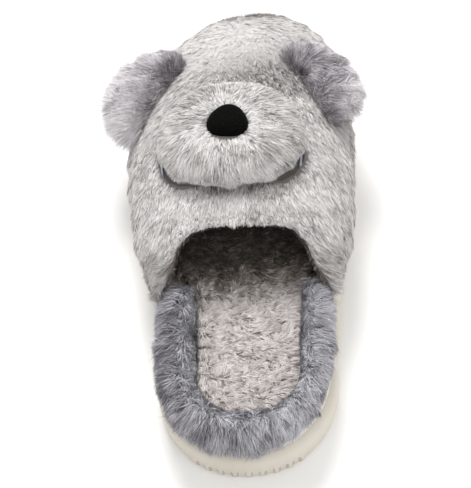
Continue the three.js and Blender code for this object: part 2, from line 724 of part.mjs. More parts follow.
function upperLocks(loops) {
  const middle = (loops[0].length - 1) / 2;
  const locks = [];
  for (const row of UPPER_LOCKS) {
    for (let i = 0; i < row.count; i += 1) {
      const j = (loops.length - 1) * (row.from + ((row.to - row.from) * i) / (row.count - 1));
      for (const side of [-1, 1]) {
        const spot = onLoops(loops, j, middle + side * middle * (1 - row.up));
        const out = new THREE.Vector3().crossVectors(spot.alongLoop, spot.acrossLoops);
        if (out.z < 0 || out.x * side < 0) out.negate();
        const down = spot.alongLoop.multiplyScalar(side * row.down);
        const way = down.addScaledVector(spot.acrossLoops, -row.back).addScaledVector(out, 0.16);
        locks.push(lock(spot.place, way, out, varied(locks.length)));
      }
    }
  }
  for (let i = 0; i < THROAT_LOCKS; i += 1) {
    const x = (THROAT_HALF - LOCK_WIDTH * 0.6) * ((2 * i) / (THROAT_LOCKS - 1) - 1);
    const y = THROAT_FRONT - HEEL_BACK + LOCK_SINK;
    const way = new THREE.Vector3(x / THROAT_HALF / 3, -1, 0.1);
    locks.push(lock(new THREE.Vector3(x, y, over(x, y) - 1), way, new THREE.Vector3(0, 0, 1), varied(i)));
  }
  return locks;
}

function collarLocks(loops) {
  const { at, free, count, lift } = COLLAR_LOCKS;
  return Array.from({ length: count }, (_, i) => {
    const j = (loops.length - 1) * (free + ((1 - 2 * free) * i) / (count - 1));
    const spot = onLoops(loops, j, at);
    const out = new THREE.Vector3().crossVectors(spot.acrossLoops, spot.alongLoop);
    const way = spot.alongLoop.multiplyScalar(-1).addScaledVector(out, lift);
    return lock(spot.place, way, out, varied(i));
  });
}

function muzzleLocks(rings) {
  const { ring, count, lift } = MUZZLE_LOCKS;
  return Array.from({ length: count }, (_, i) => {
    const spot = onLoops(rings, ring, ((rings[0].length - 1) * i) / count);
    const out = new THREE.Vector3().crossVectors(spot.alongLoop, spot.acrossLoops);
    const way = spot.acrossLoops.multiplyScalar(-1).addScaledVector(out, lift);
    return lock(spot.place, way, out, varied(i));
  });
}

function earLocks(loops, side) {
  const tip = FLAP.length - 2;
  const up = new THREE.Vector3(0, 0, 1);
  return Array.from({ length: EAR_LOCKS }, (_, i) => {
    const spot = onLoops(loops, 0.6 + ((loops.length - 2.2) * i) / (EAR_LOCKS - 1), tip + 0.3);
    const way = spot.alongLoop.addScaledVector(up, 0.25);
    return lock(spot.place, way, up, varied(i + side));
  });
}

const furred = (form, locks) => locks.reduce((sum, part) => sum.add(part), form);

// Cuts a furred form by its neighbours, and drops the tips of locks that the cut leaves loose
function trimmed(form, neighbours) {
  const pieces = neighbours.reduce((rest, part) => rest.subtract(part), form).decompose();
  return pieces.reduce((a, b) => (a.volume() > b.volume() ? a : b));
}

function mesh(name, form, colour, roughness) {
  const result = form.getMesh();
  const geometry = new THREE.BufferGeometry();
  const places = new Float32Array(result.numVert * 3);
  for (let k = 0; k < result.numVert; k += 1) {
    for (let i = 0; i < 3; i += 1) places[3 * k + i] = result.vertProperties[result.numProp * k + i];
  }
  geometry.setAttribute("position", new THREE.BufferAttribute(places, 3));
  geometry.setIndex(new THREE.BufferAttribute(new Uint32Array(result.triVerts), 1));
  geometry.computeVertexNormals();
  const material = new THREE.MeshStandardMaterial({ color: colour, roughness, metalness: 0 });
  const node = new THREE.Mesh(geometry, material);
  node.name = name;
  return node;
}

// Stuffed pad with its locks, over the upper and with room for the eyes under it
function makeMuzzle(floor) {
  const pad = muzzleForm(0);
  const cover = upperGrown(2 * GAP + EYE_PATCH + EYE_RING_PROUD, 0).body;
  const eyes = [1, -1].map((side) => eyePrism(side, GAP).intersect(cover));
  return trimmed(furred(pad.body, muzzleLocks(pad.rings)), [floor, ...eyes]);
}

const upper = upperShell(0);
const floor = upperGrown(GAP, 0).body;
const muzzleRoom = muzzleForm(GAP).body;

const group = new THREE.Group();
group.add(mesh("outsole", makeOutsole(), 0xd5d0c8, 0.55));
group.add(mesh("insole", makeInsole(), 0xbdb4b4, 0.95));
group.add(mesh("upper", furred(upper.shell, upperLocks(upper.loops)), 0xb7b3b2, 0.95));
group.add(mesh("heel_collar", makeCollar(upperShell(GAP).shell), 0x8e8b8e, 0.95));
group.add(mesh("muzzle", makeMuzzle(floor), 0xc6c3c1, 0.95));
group.add(mesh("nose", makeNose(), 0x171715, 0.9));
group.add(mesh("eye_medial", makeEye(1, floor), 0x726d6a, 0.8));
group.add(mesh("eye_lateral", makeEye(-1, floor), 0x726d6a, 0.8));
group.add(mesh("ear_medial", makeEar(1, floor, muzzleRoom), 0x8b888b, 0.95));
group.add(mesh("ear_lateral", makeEar(-1, floor, muzzleRoom), 0x8b888b, 0.95));

export default group;
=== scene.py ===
"""Look of a plush mule for the left foot: fur, footbed, moulded sole, face, camera and light."""

import bpy
import numpy as np
from mathutils import Matrix, Vector


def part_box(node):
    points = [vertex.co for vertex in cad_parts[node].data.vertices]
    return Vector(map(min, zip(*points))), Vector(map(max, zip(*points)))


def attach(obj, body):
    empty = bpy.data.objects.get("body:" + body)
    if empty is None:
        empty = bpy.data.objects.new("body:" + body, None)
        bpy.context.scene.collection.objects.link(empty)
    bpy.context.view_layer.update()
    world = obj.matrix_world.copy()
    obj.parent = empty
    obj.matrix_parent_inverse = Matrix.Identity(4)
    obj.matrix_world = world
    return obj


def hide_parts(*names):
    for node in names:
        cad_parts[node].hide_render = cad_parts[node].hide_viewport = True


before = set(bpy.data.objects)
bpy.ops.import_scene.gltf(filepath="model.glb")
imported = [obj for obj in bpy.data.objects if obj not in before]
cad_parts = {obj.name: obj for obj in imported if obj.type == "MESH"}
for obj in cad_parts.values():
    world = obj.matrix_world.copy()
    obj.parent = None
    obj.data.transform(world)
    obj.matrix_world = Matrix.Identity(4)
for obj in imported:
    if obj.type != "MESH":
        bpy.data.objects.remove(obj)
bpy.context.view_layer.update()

MM = 0.001

# Sole, in millimetres, as in the part's source
LENGTH = 260.5
HEEL_BACK = 35
BALL_WIDTH = 102
HEEL_ROUND = 44
TOE_ROUND = 66
LOWER_BAND = 14
HEEL_LIFT = 5
LIP_BAND = 8
RIM_WALL = 4
SEAT_STEP = 1
TOE_SPRING = 6
TOE_THINNING = 2.5
ARCH_RISE = 2.5
LOBE_DEPTH = 3.6
LOBE_CORNER = 13
CHANNEL_WIDTH = 4
CHANNEL_DEPTH = 2.2
RIB_COUNT = 9
RIB_WIDTH = 2.8
RIB_HEIGHT = 7.5
RIB_STEP = 6.5
RIB_PROUD = 0.7

# Steps around the rim, in millimetres: close together over the first run from the heel's middle, then fewer
FINE_RUN = 42
FINE_STEP = 0.6
COARSE_STEPS = 190
CELLS_ACROSS = 13

# Face and throat, in millimetres, with places from the heel end. EYE_CURVE is the stitched lines' reach along
# the foot as a share of EYE_LENGTH.
FACE_SHIFT = -4.5
MUZZLE_PLACE = 155
MUZZLE_WIDTH = 71
MUZZLE_LENGTH = 58
NOSE_PLACE = 152
NOSE_WIDTH = 20.4
EYE_PLACE = 148
EYE_APART = 44
EYE_WIDTH = 31
EYE_LENGTH = 40
EYE_CURVE = 1.1
THROAT_FRONT = 106

# Strands in each pile
VAMP_STRANDS = 172000
LINING_STRANDS = 16000
COLLAR_STRANDS = 70000
MUZZLE_STRANDS = 62000
EAR_STRANDS = 24000
FOOTBED_STRANDS = 62000

# Plan of the rim: share of LENGTH, width and shift as shares of BALL_WIDTH
PLAN = [
    (0.0, 0.805, -0.007),
    (0.16, 0.825, -0.004),
    (0.33, 0.875, 0.0),
    (0.5, 0.97, -0.01),
    (0.66, 1.01, -0.018),
    (0.82, 0.995, 0.005),
    (1.0, 0.96, 0.06),
]

# Heights: share of LENGTH, then shares of HEEL_LIFT, TOE_SPRING and ARCH_RISE
LEVELS = [
    (0.0, 1, 0, 0),
    (0.2, 1, 0, 0),
    (0.31, 0.85, 0, 0.6),
    (0.4, 0.5, 0, 1),
    (0.49, 0.15, 0, 0.6),
    (0.58, 0, 0, 0),
    (0.705, 0, 0, 0),
    (0.84, 0, 0.3, 0),
    (1.0, 0, 1, 0),
]
NOTCHES = [0.208, 0.336, 0.462, 0.588, 0.716, 0.845]

# Outside of the lower band: inset as a share of RIM_WALL, share of its height, share of LOBE_DEPTH
BAND_RINGS = [
    (1.5, 0.0, 0.75),
    (0.9, 0.0, 0.82),
    (0.62, 0.02, 0.9),
    (0.4, 0.08, 0.96),
    (0.26, 0.17, 1.0),
    (0.17, 0.3, 1.0),
    (0.12, 0.45, 1.0),
    (0.12, 0.6, 1.0),
    (0.17, 0.74, 1.0),
    (0.26, 0.85, 0.95),
    (0.4, 0.93, 0.8),
    (0.58, 0.985, 0.55),
    (0.8, 1.0, 0.3),
]

# Rings of BAND_RINGS between which the ribs' edges are drawn
RIB_FOOT_RING = 4
RIB_TOP_RING = 7

# Groove and lip: inset as a share of RIM_WALL, share of LIP_BAND over the lower band
LIP_RINGS = [
    (0.92, 0.02),
    (0.9, 0.07),
    (0.55, 0.09),
    (0.25, 0.13),
    (0.1, 0.22),
    (0.04, 0.38),
    (0.03, 0.58),
    (0.1, 0.77),
    (0.24, 0.9),
    (0.45, 0.98),
    (0.68, 1.0),
    (0.88, 0.99),
    (1.0, 0.9),
    (1.02, 0.5),
    (1.02, 0.1),
]


def read(table, column, at):
    """One column of a table at places, smoothly between its rows."""
    x = np.array([row[0] for row in table], float)
    v = np.array([row[column] for row in table], float)
    secant = np.diff(v) / np.diff(x)
    before = np.concatenate([secant[:1], secant])
    after = np.concatenate([secant, secant[-1:]])
    same = before * after > 0
    slope = np.where(same, 2 * before * after / np.where(same, before + after, 1), 0)
    at = np.clip(at, x[0], x[-1])
    k = np.clip(np.searchsorted(x, at, side="left") - 1, 0, len(x) - 2)
    span = x[k + 1] - x[k]
    t = (at - x[k]) / span
    ends = v[k] + (3 * t**2 - 2 * t**3) * (v[k + 1] - v[k])
    return ends + span * ((t**3 - 2 * t**2 + t) * slope[k] + (t**3 - t**2) * slope[k + 1])


def rounding(distance, size):
    rest = 1 - np.clip(distance / size, 0, 1)
    return (1 - rest**2.15) ** (1 / 2.15)


def trace(side):
    """One side of the rim as close points: x, y, distance from the heel end, run so far."""
    s = LENGTH / 2 * (1 - np.cos(np.linspace(0, np.pi, 3001)))
    ends = rounding(s, HEEL_ROUND) * rounding(LENGTH - s, TOE_ROUND)
    half = 0.5 * BALL_WIDTH * read(PLAN, 1, s / LENGTH) * ends
    x = BALL_WIDTH * read(PLAN, 2, s / LENGTH) + side * half
    y = s - HEEL_BACK
    run = np.concatenate([[0], np.cumsum(np.hypot(np.diff(x), np.diff(y)))])
    return x, y, s, run


TRACES = {side: trace(side) for side in (1, -1)}


def rim(side, runs):
    """Places and outward normals at runs along one side of the rim."""
    x, y, _, run = TRACES[side]
    place = np.stack([np.interp(runs, run, x), np.interp(runs, run, y)], 1)
    ahead = np.stack([np.interp(runs + 0.8, run, x), np.interp(runs + 0.8, run, y)], 1)
    behind = np.stack([np.interp(runs - 0.8, run, x), np.interp(runs - 0.8, run, y)], 1)
    way = ahead - behind
    way /= np.linalg.norm(way, axis=1)[:, None]
    normal = np.stack([way[:, 1], -way[:, 0]], 1) * side
    normal[runs < 1e-6] = (0, -1)
    normal[runs > run[-1] - 1e-6] = (0, 1)
    return place, normal


def level(column, y):
    return read(LEVELS, column, (y + HEEL_BACK) / LENGTH)


def underside(y):
    return TOE_SPRING * level(2, y) + ARCH_RISE * level(3, y)


def band_top(y):
    return LOWER_BAND + HEEL_LIFT * level(1, y) + (TOE_SPRING - TOE_THINNING) * level(2, y)


def smooth(x, low, high):
    t = np.clip((x - low) / (high - low), 0, 1)
    return t * t * (3 - 2 * t)


def unit(v):
    return v / np.maximum(np.linalg.norm(v, axis=-1, keepdims=True), 1e-9)


class Noise:
    """Smooth value noise from 0 to 1 on a repeating lattice."""

    def __init__(self, seed):
        self.size = 24
        self.lattice = np.random.default_rng(seed).random((self.size,) * 3)

    def __call__(self, points, scale):
        p = points / scale
        base = np.floor(p).astype(int)
        t = p - base
        t = t * t * (3 - 2 * t)
        total = np.zeros(len(points))
        for corner in np.ndindex(2, 2, 2):
            i = (base + corner) % self.size
            weight = np.prod(np.where(np.array(corner) == 1, t, 1 - t), axis=1)
            total += weight * self.lattice[i[:, 0], i[:, 1], i[:, 2]]
        return total


NOISE = [Noise(seed) for seed in (11, 12, 13, 14)]


def wander(points, scale):
    """Three noises as a vector, each from -1 to 1."""
    return np.stack([2 * noise(points, scale) - 1 for noise in NOISE[:3]], 1)


def make_piece(name, verts, faces):
    """Smooth object from vertices in millimetres and faces, riding on the body."""
    mesh = bpy.data.meshes.new(name)
    mesh.from_pydata((np.asarray(verts) * MM).tolist(), [], [list(map(int, f)) for f in faces])
    mesh.shade_smooth()
    piece = bpy.data.objects.new(name, mesh)
    bpy.context.scene.collection.objects.link(piece)
    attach(piece, "root")
    return piece


def smooth_copy(name, node, voxel, rounds):
    """Even, softened copy of a CAD node, which it replaces."""
    piece = bpy.data.objects.new(name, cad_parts[node].data.copy())
    bpy.context.scene.collection.objects.link(piece)
    even = piece.modifiers.new("even", "REMESH")
    even.mode = "VOXEL"
    even.voxel_size = voxel * MM
    soften = piece.modifiers.new("soften", "SMOOTH")
    soften.factor = 0.5
    soften.iterations = rounds
    bpy.context.view_layer.update()
    result = bpy.data.meshes.new_from_object(piece.evaluated_get(bpy.context.evaluated_depsgraph_get()))
    piece.modifiers.clear()
    piece.data = result
    piece.data.materials.clear()
    piece.data.shade_smooth()
    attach(piece, "root")
    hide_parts(node)
    return piece


def surface(piece):
    """Vertices and normals in millimetres, and the triangles, of a piece."""
    mesh = piece.data
    mesh.calc_loop_triangles()
    verts = np.zeros(len(mesh.vertices) * 3)
    mesh.vertices.foreach_get("co", verts)
    normals = np.zeros(len(mesh.vertices) * 3)
    mesh.vertex_normals.foreach_get("vector", normals)
    tris = np.zeros(len(mesh.loop_triangles) * 3, np.int32)
    mesh.loop_triangles.foreach_get("vertices", tris)
    return verts.reshape(-1, 3) / MM, normals.reshape(-1, 3), tris.reshape(-1, 3)


def scatter(piece, weight, count, seed):
    """Random places on a piece with their normals, as many in each area as weight(places, normals) asks."""
    verts, normals, tris = surface(piece)
    a, b, c = (verts[tris[:, k]] for k in range(3))
    area = 0.5 * np.linalg.norm(np.cross(b - a, c - a), axis=1)
    middle = (a + b + c) / 3
    share = area * weight(middle, unit(normals[tris].sum(1)))
    rng = np.random.default_rng(seed)
    chosen = rng.choice(len(tris), count, p=share / share.sum())
    u, v = rng.random(count), rng.random(count)
    over = u + v > 1
    u[over], v[over] = 1 - u[over], 1 - v[over]
    w = np.stack([1 - u - v, u, v], 1)[:, :, None]
    places = (verts[tris[chosen]] * w).sum(1)
    return places, unit((normals[tris[chosen]] * w).sum(1))


def tangent(vector, normals):
    return unit(vector - normals * (vector * normals).sum(1)[:, None])


def tufts(points, size, rough):
    """Number of the tuft that each place belongs to."""
    cells = np.floor((points + rough * wander(points, size * 2.3)) / size).astype(int)
    return np.unique(cells, axis=0, return_inverse=True)[1].reshape(-1)


def mean_of(values, group):
    count = np.bincount(group)[:, None]
    sums = np.stack([np.bincount(group, values[:, k]) for k in range(values.shape[1])], 1)
    return (sums / count)[group]


def fur(name, material, points, normals, flow, look, seed):
    """Strands rooted at points and lying along flow: two triangles each, widest and bent at the middle.

    look holds length, width and tuft in millimetres. Its lift is the rise from the surface, pull is the share
    of the way to the tuft's middle, and tone and spread choose the colour. It may also hold swing (turn of a
    whole tuft), stray (turn of one strand), droop (sag of the tips) and even (how far the shading follows the
    surface).
    """
    rng = np.random.default_rng(seed)
    n = len(points)
    group = tufts(points, look["tuft"], 1.3)
    pull = np.broadcast_to(look["pull"], n)[:, None]
    swing = rng.normal(0, 1, (group.max() + 1, 3))[group] * look.get("swing", 0.16)
    flow = tangent(flow + swing + rng.normal(0, look.get("stray", 0.14), (n, 3)), normals)
    lift = (look["lift"] * (1 + rng.normal(0, 0.22, n)))[:, None]
    length = (look["length"] * (0.72 + 0.46 * rng.random(n)))[:, None]
    droop = look.get("droop", 0.0)
    first = unit(flow + normals * lift * 1.9)
    last = unit(flow * (1 - droop) + normals * lift * 0.35 + np.array([0, 0, -droop]))
    root = points - normals * 0.4
    middle = root + first * length * 0.45
    tip = middle + last * length * 0.55
    tip += (mean_of(tip, group) - tip) * pull
    middle += (mean_of(middle, group) - middle) * pull * 0.3
    tilt = unit(normals + rng.normal(0, 0.42, (n, 3)))
    side = unit(np.cross(tip - root, tilt))
    turned = (np.cross(side, tip - root) * normals).sum(1) > 0
    side[~turned] *= -1
    half = side * (look["width"] * (0.75 + 0.5 * rng.random(n)))[:, None] / 2
    verts = np.stack([root, middle + half, middle - half, tip], 1)
    loops = np.arange(n)[:, None] * 4 + np.array([[0, 1, 2, 2, 1, 3]])
    mesh = bpy.data.meshes.new(name)
    mesh.vertices.add(4 * n)
    mesh.vertices.foreach_set("co", (verts * MM).reshape(-1))
    mesh.loops.add(6 * n)
    mesh.loops.foreach_set("vertex_index", loops.reshape(-1))
    mesh.polygons.add(2 * n)
    mesh.polygons.foreach_set("loop_start", np.arange(2 * n) * 3)
    mesh.update(calc_edges=True)
    tuft_tone = rng.normal(0, 1, group.max() + 1)[group]
    tone = look["tone"] + look["spread"] * (0.7 * tuft_tone + 0.8 * rng.normal(0, 1, n))
    tone = np.clip(tone, 0.03, 0.97)
    left, right = tone - 0.004, tone + 0.004
    across = np.stack([tone, right, left, left, right, tone], 1)
    along = np.array([0.02, 0.5, 0.5, 0.5, 0.5, 0.98])
    uv = np.stack([across, np.broadcast_to(along, (n, 6))], 2).astype(np.float32)
    for label in ("strand", "OFBake"):
        layer = mesh.uv_layers.new(name=label, do_init=False)
        layer.data.foreach_set("uv", uv.reshape(-1))
    ribbon = unit(np.cross(half, tip - root))
    even = np.broadcast_to(look.get("even", 0.75), n)[:, None]
    soft = unit(normals * even + ribbon * (1.4 - even))
    mesh.shade_smooth()
    mesh.normals_split_custom_set_from_vertices(np.repeat(soft, 4, axis=0).tolist())
    mesh.materials.append(material)
    piece = bpy.data.objects.new(name, mesh)
    bpy.context.scene.collection.objects.link(piece)
    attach(piece, "root")


# Materials


def colour(r, g, b):
    """Linear colour from the 0 to 255 values of a screen."""
    shares = [value / 255 for value in (r, g, b)]
    return tuple(c / 12.92 if c <= 0.0404 else ((c + 0.055) / 1.055) ** 2.4 for c in shares) + (1,)


def new_material(name):
    material = bpy.data.materials.new(name)
    material.use_nodes = True
    nodes = material.node_tree.nodes
    return material, nodes, material.node_tree.links, nodes["Principled BSDF"]


def ramp(nodes, stops):
    node = nodes.new("ShaderNodeValToRGB")
    elements = node.color_ramp.elements
    while len(elements) < len(stops):
        elements.new(0.5)
    for element, (place, value) in zip(elements, stops):
        element.position = place
        element.color = value
    return node


def fur_material(name, tones, roots, sheen):
    """Strand material: tones from dark to light strands, roots from foot to tip, fainter on light ones. The
    darker roots are partly the pile's own colour and partly painted shade deep in the pile.
    """
    material, nodes, links, shader = new_material(name)
    uv = nodes.new("ShaderNodeUVMap")
    uv.uv_map = "strand"
    split = nodes.new("ShaderNodeSeparateXYZ")
    links.new(uv.outputs["UV"], split.inputs["Vector"])
    tone = ramp(nodes, tones)
    # Roots darker than tips: partly the pile's own colour, partly painted shade deep in the pile
    along = ramp(nodes, roots)
    links.new(split.outputs["X"], tone.inputs["Fac"])
    links.new(split.outputs["Y"], along.inputs["Fac"])
    shade = ramp(nodes, [(0.62, grey(1)), (0.78, grey(0.3))])
    links.new(split.outputs["X"], shade.inputs["Fac"])
    mix = nodes.new("ShaderNodeMix")
    mix.data_type = "RGBA"
    mix.blend_type = "MULTIPLY"
    links.new(shade.outputs["Color"], mix.inputs["Factor"])
    links.new(tone.outputs["Color"], mix.inputs[6])
    links.new(along.outputs["Color"], mix.inputs[7])
    links.new(mix.outputs[2], shader.inputs["Base Color"])
    shader.inputs["Roughness"].default_value = 0.7
    shader.inputs["Specular IOR Level"].default_value = 0.25
    shader.inputs["Sheen Weight"].default_value = sheen
    shader.inputs["Sheen Roughness"].default_value = 0.5
    return material


def grey(value):
    return (value, value, value, 1)


def backing_with_painted_shade(name, low, high, scale, toe=None):
    """Backing under the fur, mottled between two colours, and turning to a third one at the toe. Its dark
    colours are painted shade where it shows between the strands; the light one at the toe is painted light.
    """
    material, nodes, links, shader = new_material(name)
    place = nodes.new("ShaderNodeTexCoord")
    noise = nodes.new("ShaderNodeTexNoise")
    noise.inputs["Scale"].default_value = scale
    noise.inputs["Detail"].default_value = 4
    links.new(place.outputs["Object"], noise.inputs["Vector"])
    mottle = ramp(nodes, [(0.3, low), (0.7, high)])
    links.new(noise.outputs["Fac"], mottle.inputs["Fac"])
    links.new(mottle.outputs["Color"], shader.inputs["Base Color"])
    if toe:
        split = nodes.new("ShaderNodeSeparateXYZ")
        links.new(place.outputs["Object"], split.inputs["Vector"])
        fade = ramp(nodes, [(0.14, grey(0)), (0.19, grey(1))])
        links.new(split.outputs["Y"], fade.inputs["Fac"])
        mix = nodes.new("ShaderNodeMix")
        mix.data_type = "RGBA"
        links.new(fade.outputs["Color"], mix.inputs["Factor"])
        links.new(mottle.outputs["Color"], mix.inputs[6])
        mix.inputs[7].default_value = toe
        links.new(mix.outputs[2], shader.inputs["Base Color"])
    shader.inputs["Roughness"].default_value = 0.95
    shader.inputs["Specular IOR Level"].default_value = 0.1
    return material


def sole_material(name, low, high):
    """Foamed rubber: cream, faintly mottled, with a fine moulded grain."""
    material, nodes, links, shader = new_material(name)
    place = nodes.new("ShaderNodeTexCoord")
    broad = nodes.new("ShaderNodeTexNoise")
    broad.inputs["Scale"].default_value = 22
    broad.inputs["Detail"].default_value = 5
    links.new(place.outputs["Object"], broad.inputs["Vector"])
    tint = ramp(nodes, [(0.3, low), (0.72, high)])
    links.new(broad.outputs["Fac"], tint.inputs["Fac"])
    links.new(tint.outputs["Color"], shader.inputs["Base Color"])
    grain = nodes.new("ShaderNodeTexNoise")
    grain.inputs["Scale"].default_value = 900
    grain.inputs["Detail"].default_value = 3
    links.new(place.outputs["Object"], grain.inputs["Vector"])
    bump = nodes.new("ShaderNodeBump")
    bump.inputs["Strength"].default_value = 0.12
    bump.inputs["Distance"].default_value = 0.0004
    links.new(grain.outputs["Fac"], bump.inputs["Height"])
    links.new(bump.outputs["Normal"], shader.inputs["Normal"])
    shader.inputs["Roughness"].default_value = 0.5
    shader.inputs["Specular IOR Level"].default_value = 0.4
    shader.inputs["Subsurface Weight"].default_value = 0.08
    shader.inputs["Subsurface Radius"].default_value = (0.003, 0.002, 0.0015)
    return material


# Sole


def sole_outline():
    """Places, outward normals and signed runs around the rim, and how many lie on its first side."""
    stations = {}
    for side in (1, -1):
        end = TRACES[side][3][-1]
        fine = np.arange(0, FINE_RUN, FINE_STEP)
        stations[side] = np.concatenate([fine, np.linspace(FINE_RUN, end, COARSE_STEPS)])
    inner_place, inner_normal = rim(1, stations[1])
    outer_place, outer_normal = rim(-1, stations[-1])
    place = np.concatenate([inner_place, outer_place[-2:0:-1]])
    normal = np.concatenate([inner_normal, outer_normal[-2:0:-1]])
    run = np.concatenate([stations[1], -stations[-1][-2:0:-1]])
    return place, normal, run, len(stations[1])


def lobe_depths(run):
    """How far the lower band stands out around the rim: least at the notches."""
    side = np.where(run >= 0, 1, -1)
    nearest = np.full(len(run), np.inf)
    for notch in NOTCHES:
        for way in (1, -1):
            _, _, s, runs = TRACES[way]
            at = np.interp(notch * LENGTH, s, runs)
            away = np.where(side == way, np.abs(np.abs(run) - at), np.inf)
            nearest = np.minimum(nearest, away)
    rest = 1 - np.clip(nearest / LOBE_CORNER, 0, 1)
    return LOBE_DEPTH * np.sqrt(np.clip(1 - rest**2, 0, 1) + 0.002)


def rib_shares(run):
    """1 on the heel's ribs and 0 between them."""
    ribs = np.zeros(len(run))
    for k in range(RIB_COUNT):
        near = np.abs(run - (k - (RIB_COUNT - 1) / 2) * RIB_STEP)
        ribs = np.maximum(ribs, 1 - smooth(near, RIB_WIDTH / 2 - 0.5, RIB_WIDTH / 2 + 0.5))
    return ribs


def channels(y):
    """Depth of the tread's channels at places along the sole."""
    depth = np.zeros_like(y)
    for notch in NOTCHES:
        near = np.abs(y - (notch * LENGTH - HEEL_BACK))
        depth = np.maximum(depth, 1 - smooth(near, CHANNEL_WIDTH / 2 - 0.5, CHANNEL_WIDTH / 2 + 0.7))
    return CHANNEL_DEPTH * depth


def sole_rings(place, normal, run, ribs):
    """Rings from the tread up the lower band, through the groove, and over the lip down to the seat."""
    lobes = lobe_depths(run)
    tall = band_top(place[:, 1]) - underside(place[:, 1])
    rings = []
    for inset, low, share in BAND_RINGS:
        height = low * tall
        rib = ribs * smooth(height, 1.2, 2.6) * (1 - smooth(height, RIB_HEIGHT + 2.6, RIB_HEIGHT + 4.2))
        out = share * lobes - RIM_WALL * inset + rib * RIB_PROUD
        spot = place + normal * out[:, None]
        z = underside(spot[:, 1]) + height + channels(spot[:, 1]) * max(0, 1 - low / 0.2)
        rings.append(np.column_stack([spot, z]))
    for inset, lip in LIP_RINGS:
        spot = place - normal * RIM_WALL * inset
        rings.append(np.column_stack([spot, band_top(spot[:, 1]) + LIP_BAND * lip]))
    spot = place - normal * RIM_WALL * LIP_RINGS[-1][0]
    rings.append(np.column_stack([spot, band_top(spot[:, 1]) + SEAT_STEP]))
    return rings


def close_ring(verts, base, n, half, under):
    """Cells across one ring of n vertices from base on, whose new vertices go on verts. Under the sole they
    follow the tread."""
    rows = [[base]]
    for k in range(1, half - 1):
        right, left = verts[base + k], verts[base + n - k]
        row = [base + k]
        for t in np.linspace(0, 1, CELLS_ACROSS + 1)[1:-1]:
            spot = right + (left - right) * t
            if under:
                spot[2] = underside(spot[1:2])[0] + channels(spot[1:2])[0]
            row.append(len(verts))
            verts.append(spot)
        rows.append(row + [base + n - k])
    rows.append([base + half - 1])
    faces = []
    for lower, upper in zip(rows, rows[1:]):
        if len(lower) == 1:
            cells = [(lower[0], upper[i], upper[i + 1]) for i in range(len(upper) - 1)]
        elif len(upper) == 1:
            cells = [(lower[i], upper[0], lower[i + 1]) for i in range(len(lower) - 1)]
        else:
            cells = [(lower[i], upper[i], upper[i + 1], lower[i + 1]) for i in range(len(lower) - 1)]
        faces += [cell if under else cell[::-1] for cell in cells]
    return faces


def sole_painted_crease_shade(ribs, ring_count, face_count):
    """1 on the faces in the groove and at the ribs' edges, which have the second, darker material as painted
    shade, 0 elsewhere.
    """
    n = len(ribs)
    shade_faces = np.zeros(face_count, np.int32)
    edge = np.abs(np.roll(ribs, -1) - ribs) > 0.35
    groove = len(BAND_RINGS)
    for j in range(1, ring_count):
        row = slice((j - 1) * n, j * n)
        if groove <= j <= groove + 1:
            shade_faces[row] = 1
        elif RIB_FOOT_RING <= j < RIB_TOP_RING:
            shade_faces[row] = edge
    return shade_faces


def make_sole():
    """Moulded cup sole: lobed lower band with heel ribs, groove, lip and a tread with channels."""
    place, normal, run, half = sole_outline()
    ribs = rib_shares(run)
    rings = sole_rings(place, normal, run, ribs)
    n = len(run)
    verts = list(np.concatenate(rings))
    faces = []
    for j in range(1, len(rings)):
        for k in range(n):
            a, b = (j - 1) * n, j * n
            nxt = (k + 1) % n
            faces.append((a + k, a + nxt, b + nxt, b + k))
    faces += close_ring(verts, 0, n, half, True)
    faces += close_ring(verts, (len(rings) - 1) * n, n, half, False)
    if signed(verts, faces) < 0:
        faces = [face[::-1] for face in faces]
    sole = make_piece("sole_moulding", np.array(verts), faces)
    sole.data.materials.append(sole_material("sole_cream", colour(200, 193, 180), colour(213, 207, 196)))
    # Second material: darker cream, painted shade in the groove and at the ribs' edges
    sole.data.materials.append(sole_material("sole_painted_crease_shade", colour(172, 163, 147), colour(182, 174, 160)))
    sole.data.polygons.foreach_set("material_index", sole_painted_crease_shade(ribs, len(rings), len(faces)))
    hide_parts("outsole")


def signed(verts, faces):
    """Volume inside the faces, negative where they point in."""
    v = np.asarray(verts)
    total = 0.0
    for face in faces:
        for k in range(1, len(face) - 1):
            total += np.dot(v[face[0]], np.cross(v[face[k]], v[face[k + 1]]))
    return total


# Fur fields, in millimetres


def eye_share(points, side):
    """Under 1 inside an eye's oval."""
    x = (points[:, 0] - FACE_SHIFT - side * EYE_APART / 2) / (EYE_WIDTH / 2)
    y = (points[:, 1] - EYE_PLACE + HEEL_BACK) / (EYE_LENGTH / 2)
    return np.hypot(x, y)


def muzzle_share(points):
    """Under 1 inside the muzzle's rounded oval."""
    x = (points[:, 0] - FACE_SHIFT) / (MUZZLE_WIDTH / 2)
    y = (points[:, 1] - MUZZLE_PLACE + HEEL_BACK) / (MUZZLE_LENGTH / 2)
    return (np.abs(x) ** 2.3 + np.abs(y) ** 2.3) ** (1 / 2.3)


def outer_side(points, normals):
    """1 on the upper's outer face and its cut edges, 0 on its lining."""
    n = len(points)
    axis = np.column_stack([np.full(n, -1.0), np.minimum(points[:, 1], 150), np.full(n, 26.0)])
    return ((normals * unit(points - axis)).sum(1) > -0.35).astype(float)


def vamp_weight(points, normals):
    """Thickness of the vamp's pile: none on the lining, under the muzzle and on the eyes."""
    under_muzzle = smooth(muzzle_share(points), 0.8, 0.86)
    eyes = np.minimum(eye_share(points, 1), eye_share(points, -1)) > 1.0
    behind = points[:, 1] < THROAT_FRONT - HEEL_BACK - 0.4
    spike = (points[:, 2] > 50) & behind & (np.abs(points[:, 0]) < 22)
    high = (points[:, 2] > 19) & ~spike
    facing = 0.45 + 0.55 * smooth(normals[:, 2], -0.2, 0.5)
    bare = np.where(points[:, 2] > 52, under_muzzle * eyes, 1)
    return outer_side(points, normals) * bare * high * facing + 1e-9


